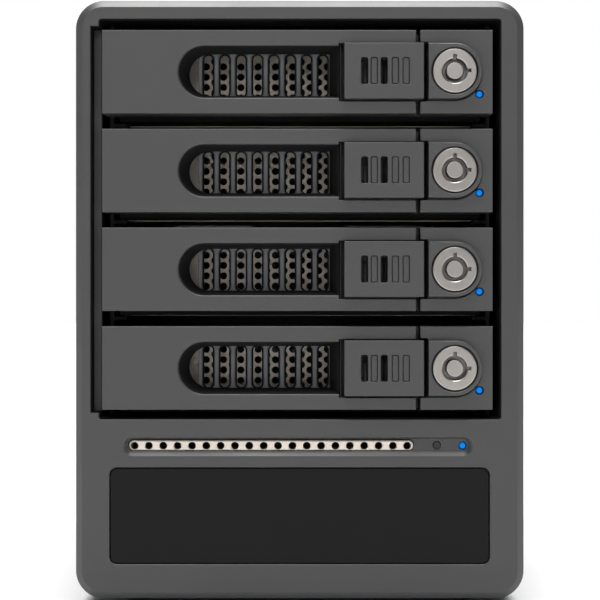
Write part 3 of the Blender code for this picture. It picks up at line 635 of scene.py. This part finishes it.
def lower_front():
    x, y, z = span("vent_strip")
    z = (z[0] - 0.18, z[1] - 0.18)
    cz = 49.36
    strip = loft(
        "strip",
        [
            (rounded_rect(x[0] + 0.38, x[1] - 0.38, z[0] + 0.38, z[1] - 0.38, 1.1, 10), y[0]),
            (rounded_rect(x[0] + 0.12, x[1] - 0.12, z[0] + 0.12, z[1] - 0.12, 1.33, 10), y[0] + 0.14),
            (rounded_rect(x[0], x[1], z[0], z[1], 1.45, 10), y[0] + 0.42),
            (rounded_rect(x[0], x[1], z[0], z[1], 1.45, 10), y[1]),
        ],
    )
    holes = [
        turned(
            "hole", (-50.06 + 4.348 * i, cz),
            [(1.32, y[0] - 1.0), (1.32, y[0] - 0.02), (1.15, y[0] + 0.16), (1.15, y[1] + 1)],
            steps=24,
        )
        for i in range(20)
    ]
    cut(strip, *holes)
    bake(strip)
    own(strip, STRIP, "root", "strip_metal", "vent_strip")

    x, y, z = span("front_window")
    window = loft(
        "window",
        [
            (rounded_rect(x[0] + 0.3, x[1] - 0.3, z[0] + 0.3, z[1] - 0.3, 1.7, 10), y[0]),
            (rounded_rect(x[0] + 0.09, x[1] - 0.09, z[0] + 0.09, z[1] - 0.09, 1.91, 10), y[0] + 0.09),
            (rounded_rect(x[0], x[1], z[0], z[1], 2.0, 10), y[0] + 0.3),
            (rounded_rect(x[0], x[1], z[0], z[1], 2.0, 10), y[1]),
        ],
    )
    bake(window)
    own(window, WINDOW, "root", "window_gloss", "front_window")

    x, y, z = span("status_led")
    c = (sum(x) / 2, sum(z) / 2)
    lens = turned("lens", c, [(0.0, y[0]), (0.5, y[0] + 0.08), (0.85, y[0] + 0.32), (0.98, y[0] + 0.7), (0.98, y[1])], 32)
    bake(lens)
    at_own_centre(lens, (c[0], y[0], c[1]))
    lens.name = "status_lens"
    own(lens, BLUE, "root", "blue_light", "status_led")

    x, y, z = span("mute_button")
    c = (sum(x) / 2, sum(z) / 2)
    button = turned(
        "button", c,
        [(0.0, y[0] + 0.12), (0.55, y[0] + 0.1), (0.8, y[0]), (1.06, y[0] + 0.08), (1.14, y[0] + 0.3), (1.14, BEZEL_BACK + 0.5),
         (2.0, BEZEL_BACK + 0.5), (2.0, y[1])],
        32,
    )
    bake(button)
    button.name = "round_button"
    own(button, BUTTON, "mute_button", "tray_plastic", "mute_button")


# ---- Trays --------------------------------------------------------------------------------
def tray_front():
    back_face = F + 9.0
    plate = box("plate", FRONT_X, (back_face, PLATE_BACK), (-12.5, 12.5))
    cut(plate, box("window", (-34.6, 10.2), (back_face - 2, PLATE_BACK + 2), (-8.2, 8.2)))
    boss = [(38.56, -8.37)] + arc(LOCK_CX, 0, 8.37, -90, 90, 32) + [(38.56, 8.37)]
    groove_out = [(38.3, -8.85)] + arc(LOCK_CX, -0.38, 8.47, -90, 90, 32) + [(38.3, 8.09)]
    block = box("block", (36.44, FRONT_X[1]), (F, PLATE_BACK - 0.5), (-HALF, HALF))
    cut(block, prism("groove", groove_out, F - 2, F + 2.2))
    block = bake(block)
    raised = prism("boss", boss, F - PROUD, F + 3)
    rim(raised, "Y", F - PROUD, 0.6, segments=5)
    px, py = PIVOT
    join(
        plate, block, raised,
        cylinder("knuckle", PIVOT, 3.0, -4.0, 4.0, "Z", 40),
        box("web", (px - 2.0, px + 2.0), (py, back_face + 1.0), (-3.9, 3.9)),
    )
    # Painted shade: a near-black shelf under each tray front, so that the gap beneath the tray reads dark.
    lip = box("lip", (-55.5, 55.5), (PLATE_BACK - 0.1, F + 24.5), (-14.0, -12.3), 0.2, 1)
    ribs = [box("rib", (x - 0.6, x + 0.6), (PLATE_BACK - 0.1, F + 24.0), (-12.6, -10.8)) for x in (-36, -18, 0, 18, 36)]
    join(lip, box("lip_root", (-55.5, 55.5), (PLATE_BACK - 1.0, PLATE_BACK + 0.6), (-13.6, -11.0)), *ribs)
    bake(lip)
    per_tray(lip, "front_lip", SHADE_BLACK, "tray_{}")
    cut(
        plate,
        box("pocket", (35.4, 38.76), (F - 4, F + 8), (-8.97, 8.97)),
        turned(
            "lock_bore", (LOCK_CX, 0),
            [(LOCK_R + 1.0, F - PROUD - 0.4), (LOCK_R + 0.2, F - PROUD + 0.4), (LOCK_R + 0.2, F + 7.5)],
            steps=72,
        ),
        cylinder("led_bore", LED_AT, 1.3, F - 2, F + 4.5, steps=32),
        cylinder("pin_bore", PIVOT, 1.3, -5, 5, "Z", 32),
    )
    bake(plate, ("Y", F, 0.42, (35, 62, 12.0, 13.0)), ("Y", F, 0.16), ("Y", F - PROUD, 0.12))
    per_tray(plate, "lock_section", PLASTIC, "tray_{}", "tray_{}_front")

    grille = box("grille", (-31.15, 9.6), (back_face, back_face + 1.1), (-8.05, 8.05), 0.12, 1)
    # Painted shade: a near-black sheet behind the plate, whose smaller holes leave a dark ring in each slot where the
    # slot walls are shaded.
    shade_ring = box("shade_ring", (-31.0, 9.45), (back_face + 1.15, back_face + 1.9), (-8.0, 8.0))
    slots, behind = [], []
    for i in range(8):
        x = -28.1 + 5.036 * i
        half = 5.0

        def stadium(r, x=x, half=half):
            return arc(x, half, r, 0, 180, 12) + arc(x, -half, r, 180, 360, 12)

        slots.append(
            loft("slot", [(stadium(2.42), back_face - 0.35), (stadium(1.82), back_face + 0.25), (stadium(1.82), back_face + 3)])
        )
        behind.append(prism("slot", stadium(1.33), back_face, back_face + 3))
    cut(grille, *slots)
    bake(grille)
    cut(shade_ring, *behind)
    bake(shade_ring)
    per_tray(shade_ring, "slot_shade_ring", SHADE_BLACK, "tray_{}")
    per_tray(grille, "slotted_plate", GRILLE, "tray_{}")


def handle():
    px, py = PIVOT
    x0, x1 = HANDLE_X
    back = HANDLE_Y[1]
    outline = [(x0, F), (x1, F), (x1, back), (px + 1.7, back)] + arc(px, py, px - x0, 90, 180, 14)
    body = prism("handle", outline, -HALF, HALF, axis="Z")

    def grip(left, half, right):
        return arc(left + half, 0, half, 90, 270, 28) + [(right, -half), (right, half)]

    over = x1 + 2
    slope = (7.93 - 6.66) / 8.5
    cut(
        body,
        box("channel", (11.8, over), (F - 2, F + 6.9), (-8.97, 8.66)),
        box("groove", (12.2, over), (F + 2.9, F + 4.9), (-10.0, 10.0)),
        loft(
            "finger",
            [
                (grip(-36.86 - slope * 2 * 2, 7.93 + slope * 2, 12.35), F - 2),
                (grip(-34.1 + slope * 2 * 2, 6.66 - slope * 2, 9.45), back + 2),
            ],
        ),
        box("knuckle_room", (x0 - 3, px + 3.3), (F + 1.1, back + 2), (-4.3, 4.3)),
        cylinder("pin_bore", PIVOT, 1.3, -10.3, 10.3, "Z", 32),
    )
    bake(body, ("Y", F, 0.48, (-38, 12.1, -8.4, 8.4)), ("Y", F, 0.42, (-70, 40, 12.0, 13.0)), ("Y", F, 0.2))
    per_tray(body, "handle_arm", PLASTIC, "handle_{}", "tray_{}_handle", origin=PIVOT)

    # Painted shade: a black bed on the floor and inner edge of the latch's channel, where the gap falls into shade.
    bed = box("bed", (12.25, x1 - 0.4), (F + 6.64, F + 6.88), (-8.9, 8.55), 0.05, 1)
    edge = box("edge", (12.22, 12.4), (F + 0.5, F + 6.8), (-8.9, 8.55), 0.05, 1)
    join(bed, edge)
    bake(bed)
    per_tray(bed, "latch_bed", BLACK, "handle_{}", origin=PIVOT)

    # Painted shade: a near-black cup that lines the finger opening's drafted walls, which fall into shade.
    def at(depth, less):
        t = depth / 8.5
        left = -36.86 + 2.76 * t + less
        return grip(left, 7.93 - 1.27 * t - less, 12.0 - 2.6 * t - less)

    cup = loft("cup", [(at(0.5, 0.03), F + 0.5), (at(8.4, 0.03), F + 8.4)])
    cut(cup, loft("inner", [(at(-2.0, 0.28), F - 2.0), (at(10.5, 0.28), F + 10.5)]), box("end", (11.6, 14.0), (F - 1, F + 7.2), (-9, 9)))
    bake(cup)
    per_tray(cup, "finger_cup", CUP_SHADE, "handle_{}", origin=PIVOT)


def latch():
    x0, x1 = LATCH_X
    y0, y1 = LATCH_Y
    body = box("latch", (x0, x1), (y0, y1), (-8.37, 8.37))
    join(body, box("runner", (x0 + 0.1, 34.9), (F + 3.25, F + 4.55), (-9.65, 9.65)))
    cutters = []
    for x, deep in ((19.5, 4.4), (22.4, 1.5), (25.4, 4.4), (28.75, 1.5), (32.0, 1.5)):
        grip = prism("grip", rounded_rect(x - 1.02, x + 1.02, -4.05, 4.05, 0.6, 6), y0 - 1, y0 + deep)
        if deep < 2:
            cut(grip, prism("pad", rounded_rect(x - 0.76, x + 0.76, -3.79, 3.79, 0.36, 6), y0 + 0.45, y0 + 3))
            bake(grip)
        cutters.append(grip)
    # Two of the grips open into the latch's hollow, past a small inner bar.
    cutters += [
        box("deep", (18.55, 19.45), (y0 + 4, y1 - 0.7), (-3.9, 3.9)),
        box("deep", (20.15, 20.45), (y0 + 4, y1 - 0.7), (-3.9, 3.9)),
        box("deep", (18.9, 20.4), (y0 + 4, y1 - 0.7), (1.4, 3.9)),
        box("deep", (25.35, 26.35), (y0 + 4, y1 - 0.7), (-3.9, 3.9)),
        box("deep", (24.45, 25.6), (y0 + 4, y1 - 0.7), (2.6, 3.9)),
    ]
    cut(body, *cutters)
    bake(body, ("Y", LATCH_Y[0], 0.26))
    per_tray(body, "latch_slider", PLASTIC, "latch_{}", "tray_{}_latch", origin=(sum(LATCH_X) / 2, F))


def lock_core():
    c = (LOCK_CX, 0.0)
    y0, y1 = CORE_Y
    r = LOCK_R
    # The barrel's rim is rounded and its centre post stands level with it.
    core = turned(
        "core", c,
        [(2.2, y0 + 0.02), (2.5, y0 + 0.12), (2.68, y0 + 0.42), (2.68, y0 + 4.0), (3.68, y0 + 4.0), (3.68, y0 + 0.38),
         (3.9, y0 + 0.1), (4.15, y0), (r - 0.5, y0), (r - 0.28, y0 + 0.05), (r - 0.09, y0 + 0.2), (r, y0 + 0.45), (r, y1)],
        steps=72,
    )
    cut(
        core,
        box("notch_top", (c[0] - 0.58, c[0] + 0.58), (y0 - 1, y0 + 2.4), (3.3, 4.95)),
        box("notch_side", (c[0] + 3.3, c[0] + 4.95), (y0 - 1, y0 + 2.4), (-0.58, 0.58)),
    )
    bake(core)
    per_tray(core, "lock_barrel", NICKEL, "lock_{}", "tray_{}_lock_core", origin=(c[0], F))

    y0, y1 = LED_Y
    lens = turned("lens", LED_AT, [(0.0, y0), (0.5, y0 + 0.06), (0.85, y0 + 0.26), (1.0, y0 + 0.6), (1.0, y1)], 32)
    bake(lens)
    lens.data.transform(Matrix.Translation(Vector((0, 0, -LED_AT[1])) * MM))
    at_own_centre(lens, (LED_AT[0], F, 0))
    dress(lens, BLUE)
    mesh = lens.data
    bpy.data.objects.remove(lens)
    for n in TRAYS:
        copy = add(f"tray_{n}_lens", mesh)
        copy.location = Vector((LED_AT[0], F, TRAY_Z[n] + LED_AT[1])) * MM
        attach(copy, f"tray_{n}")
        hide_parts(f"tray_{n}_led")


def caddy():
    half = CADDY_X[1]
    floor = CADDY_Z[0] - TRAY_Z[1]
    y0, y1 = F + 25.0, CADDY_Y[1]
    start = CADDY_Y[0]
    body = box("caddy", (-half, half), (y0, y1), (floor, floor + 1.0))
    side = [(y0, floor), (y1, floor), (y1, 6.0), (start, 6.0), (start, -12.0), (y0, -12.0)]
    join(
        body,
        prism("left", side, -half, -half + 1.0, axis="X"),
        prism("right", side, half - 1.0, half, axis="X"),
        box("wall", (-half, half), (y0, y0 + 1.0), (floor, 12.3)),
    )
    cutters = []
    for i in range(9):
        for column, rows in ((0, (-4.92, -1.64, 1.64, 4.92)), (1, (-6.56, -3.28, 0.0, 3.28, 6.56))):
            x = -29.67 + 5.487 * i + 2.743 * column
            if x > 13:
                continue
            cutters += [cylinder("hole", (x, z), 1.16, y0 - 1, y0 + 2, steps=20) for z in rows]
    for x in (-30, 30):
        for y in (-60.0, -15.0, 30.0):
            cutters.append(prism("air", rounded_rect(x - 15, x + 15, y, y + 30, 3, 6), floor - 1, floor + 2, axis="Z"))
    for y in (-52.5, 7.5, 49.0):
        cutters.append(cylinder("fixing", (y, -6.9), 1.9, -half - 2, half + 2, "X", 20))
    cut(body, *cutters)
    bake(body)
    per_tray(body, "drive_pan", CADDY, "tray_{}", "tray_{}_caddy")


# ---- Rear ---------------------------------------------------------------------------------
def ring_of_wire(bm, centre, radius, y, wire, steps=96, sides=10):
    rings = []
    for i in range(steps):
        a = 2 * math.pi * i / steps
        ring = []
        for j in range(sides):
            b = 2 * math.pi * j / sides
            r = radius + wire * math.cos(b)
            ring.append(
                bm.verts.new(Vector((centre[0] + r * math.cos(a), y + wire * math.sin(b), centre[1] + r * math.sin(a))) * MM)
            )
        rings.append(ring)
    for i in range(steps):
        for j in range(sides):
            a, b = rings[i], rings[(i + 1) % steps]
            bm.faces.new((a[j], b[j], b[(j + 1) % sides], a[(j + 1) % sides]))


def rod(name, start, end, radius, sides=12):
    start, end = Vector(start), Vector(end)
    bm = bmesh.new()
    bmesh.ops.create_cone(
        bm, cap_ends=True, segments=sides, radius1=radius * MM, radius2=radius * MM, depth=(end - start).length * MM
    )
    turn = (end - start).to_track_quat("Z", "Y").to_matrix().to_4x4()
    bmesh.ops.transform(bm, matrix=Matrix.Translation((start + end) / 2 * MM) @ turn, verts=bm.verts)
    return from_bmesh(name, bm)


def fan_guard():
    _, y, z = span("fan_guard")
    cz = sum(z) / 2
    wire = 0.7
    low = y[0] + wire + 0.02
    bm = bmesh.new()
    ring_of_wire(bm, (0, cz), 9.0, low + wire, wire, 64)
    guard = from_bmesh("guard", bm)
    parts = []
    for r in (18.0, 27.0, 36.0):
        bm = bmesh.new()
        ring_of_wire(bm, (0, cz), r, low + wire, wire, 96)
        parts.append(from_bmesh("ring", bm))
    for sign in (-1, 1):
        parts.append(rod("bar", (-33.5, low, cz - sign * 33.5), (33.5, low, cz + sign * 33.5), wire))
    for x in (-1, 1):
        for s in (-1, 1):
            bm = bmesh.new()
            ring_of_wire(bm, (x * 35.75, cz + s * 35.75), 2.6, low, wire, 36)
            parts.append(from_bmesh("eye", bm))
    join(guard, *parts)
    bake(guard)
    guard.name = "wire_guard"
    own(guard, WIRE, "root", "black_steel", "fan_guard")
    for n, (x, s) in enumerate(((-1, -1), (1, -1), (-1, 1), (1, 1)), start=1):
        c = (x * 35.75, cz + s * 35.75)
        head = turned(
            "head", c,
            [(1.6, PANEL_Y[1] + 0.05), (1.6, y[1] - 0.95), (3.1, y[1] - 0.95), (3.1, y[1] - 0.5), (2.7, y[1] - 0.12), (1.9, y[1])], 36,
        )
        cut(
            head,
            box("a", (c[0] - 1.5, c[0] + 1.5), (y[1] - 0.6, y[1] + 1), (c[1] - 0.35, c[1] + 0.35)),
            box("b", (c[0] - 0.35, c[0] + 0.35), (y[1] - 0.6, y[1] + 1), (c[1] - 1.5, c[1] + 1.5)),
        )
        bake(head)
        head.name = f"guard_screw_{n}"
        own(head, ZINC, "root", "black_steel")


def rotor():
    _, y, z = span("fan_rotor")
    cz = 118.0
    hub_back = 101.7
    hub = turned(
        "hub", (0, cz),
        [(0.0, y[0]), (12.6, y[0]), (13.6, y[0] + 0.3), (14.2, y[0] + 1.0), (14.2, hub_back), (1.5, hub_back), (1.5, y[1])], 64,
    )
    blades = []
    for n in range(7):
        bm = bmesh.new()
        rows = []
        for i in range(9):
            t = i / 8
            r = 13.4 + (36.6 - 13.4) * t
            pitch = math.radians(50 - 20 * t)
            chord = 16.0 + 1.5 * t
            lean = math.radians(10 * t * t)
            row = []
            for side in (-1, 1):
                for k in range(7):
                    s = (k / 6 - 0.5) * (1 if side < 0 else -1)
                    camber = 1.6 * (0.25 - s * s) * 4 * 0.5
                    thick = 0.75 * math.sqrt(max(0.05, 1 - (2 * s) ** 2)) * side
                    u, v = s * chord, camber + thick
                    x = u * math.cos(pitch) - v * math.sin(pitch)
                    w = u * math.sin(pitch) + v * math.cos(pitch)
                    row.append(bm.verts.new(Matrix.Rotation(lean, 3, "Y") @ Vector((x, w + (y[0] + hub_back) / 2, r)) * MM))
            rows.append(row)
        count = len(rows[0])
        for a, b in zip(rows, rows[1:]):
            for k in range(count):
                m = (k + 1) % count
                bm.faces.new((a[k], a[m], b[m], b[k]))
        bm.faces.new(rows[0][::-1])
        bm.faces.new(rows[-1])
        bmesh.ops.transform(
            bm,
            matrix=Matrix.Translation(Vector((0, 0, cz)) * MM) @ Matrix.Rotation(2 * math.pi * n / 7, 4, "Y"),
            verts=bm.verts,
        )
        blades.append(from_bmesh("blade", bm))
    join(hub, *blades)
    bake(hub)
    at_own_centre(hub, (0, (y[0] + hub_back) / 2, cz))
    hub.name = "fan_blades"
    own(hub, BLACK, "fan_rotor", "black_plastic", "fan_rotor")


def dust_filter():
    """A thin foam pad between the backplane and the fan, held by its own frame."""
    y0 = 75.6
    pad = prism("pad", rounded_rect(-42, 42, 76, 160, 5, 8), y0, y0 + 1.6)
    rim_out = prism("rim", rounded_rect(-43.5, 43.5, 74.5, 161.5, 6, 8), y0 - 0.6, y0 + 2.2)
    cut(rim_out, prism("in", rounded_rect(-40.5, 40.5, 77.5, 158.5, 4.5, 8), y0 - 2, y0 + 4))
    join(pad, bake(rim_out))
    bake(pad)
    pad.name = "dust_filter"
    own(pad, FOAM, "root", "black_plastic")


def rounded(node, mat, width=0.25, angle=40):
    """A CAD node whose shape is right: a small radius on its edges and its own finish."""
    obj = NODES[node]
    modifier = obj.modifiers.new("Edge", "BEVEL")
    modifier.width = width * MM
    modifier.segments = 2
    modifier.limit_method = "ANGLE"
    modifier.angle_limit = math.radians(angle)
    plain(node, mat)


def plain(node, mat):
    obj = NODES[node]
    if obj.material_slots:
        for slot in obj.material_slots:
            slot.material = mat
    else:
        obj.data.materials.append(mat)


casing()
screws_and_feet()
lower_front()
tray_front()
handle()
latch()
lock_core()
caddy()
fan_guard()
rotor()
dust_filter()
for name, mat in (
    ("drive_cage", STEEL), ("backplane_board", BOARD), ("front_board", BOARD), ("controller_board", BOARD),
    ("power_supply", ZINC), ("fan_frame", BLACK), ("power_switch", BLACK),
):
    plain(name, mat)
for name, mat in (
    ("power_inlet", BLACK), ("switch_frame", BLACK), ("data_port_1", PORT), ("data_port_2", PORT),
):
    plain(name, mat)
for n in TRAYS:
    plain(f"tray_{n}_hinge_pin", PIN)


# ---- Stage, light and camera --------------------------------------------------------------
def stage():
    bm = bmesh.new()
    bmesh.ops.create_grid(bm, x_segments=1, y_segments=1, size=6.0)
    floor = from_bmesh("floor", bm)
    mat = bpy.data.materials.new("pale_floor")
    mat.use_nodes = True
    shader = mat.node_tree.nodes["Principled BSDF"]
    shader.inputs["Base Color"].default_value = (0.74, 0.74, 0.74, 1)
    shader.inputs["Roughness"].default_value = 0.9
    shader.inputs["Specular IOR Level"].default_value = 0.1
    floor.data.materials.append(mat)

    world = bpy.data.worlds.new("studio")
    bpy.context.scene.world = world
    world.use_nodes = True
    nodes, links = world.node_tree.nodes, world.node_tree.links
    background = nodes["Background"]
    background.inputs["Color"].default_value = (1, 1, 1, 1)
    background.inputs["Strength"].default_value = 1.0
    # What lights the object: a bright ceiling of light and a dim room.
    room = nodes.new("ShaderNodeBackground")
    room.inputs["Color"].default_value = (1, 1, 1, 1)
    coords = nodes.new("ShaderNodeTexCoord")
    split = nodes.new("ShaderNodeSeparateXYZ")
    links.new(coords.outputs["Generated"], split.inputs[0])
    level = nodes.new("ShaderNodeMapRange")
    level.interpolation_type = "SMOOTHSTEP"
    level.inputs["From Min"].default_value = 0.88
    level.inputs["From Max"].default_value = 0.97
    level.inputs["To Min"].default_value = 0.09
    level.inputs["To Max"].default_value = 13.0
    links.new(split.outputs["Z"], level.inputs["Value"])
    links.new(level.outputs["Result"], room.inputs["Strength"])
    path = nodes.new("ShaderNodeLightPath")
    mix = nodes.new("ShaderNodeMixShader")
    links.new(path.outputs["Is Camera Ray"], mix.inputs[0])
    links.new(room.outputs[0], mix.inputs[1])
    links.new(background.outputs[0], mix.inputs[2])
    links.new(mix.outputs[0], nodes["World Output"].inputs["Surface"])

    def softbox(name, place, target, size, level):
        """An area light of this size in metres, with this radiance."""
        data = bpy.data.lights.new(name, "AREA")
        data.shape = "RECTANGLE"
        data.size, data.size_y = size
        data.energy = level * math.pi * size[0] * size[1]
        lamp = bpy.data.objects.new(name, data)
        lamp.location = place
        lamp.rotation_euler = (Vector(target) - Vector(place)).to_track_quat("-Z", "Y").to_euler()
        bpy.context.scene.collection.objects.link(lamp)

    softbox("front", (-0.03, -1.10, 0.52), (0, -0.10, 0.1), (0.6, 0.36), 2.6)
    softbox("high", (0.0, -0.80, 1.05), (0, -0.10, 0.1), (1.2, 0.22), 2.2)
    softbox("left", (-1.1, -0.25, 0.35), (0, -0.10, 0.1), (0.5, 0.5), 0.7)


def camera():
    data = bpy.data.cameras.new("camera")
    cam = bpy.data.objects.new("camera", data)
    distance = 0.500
    cam.location = (0.00007, F * MM - distance, 0.0935)
    cam.rotation_euler = (math.pi / 2, 0, 0)
    data.sensor_width = 36.0
    data.sensor_fit = "HORIZONTAL"
    data.lens = 36.0 * distance / (600 * 0.302 * MM)
    data.clip_start = 0.01
    data.clip_end = 50.0
    bpy.context.scene.collection.objects.link(cam)
    bpy.context.scene.camera = cam


stage()
camera()
bpy.context.scene.view_settings.view_transform = "Standard"
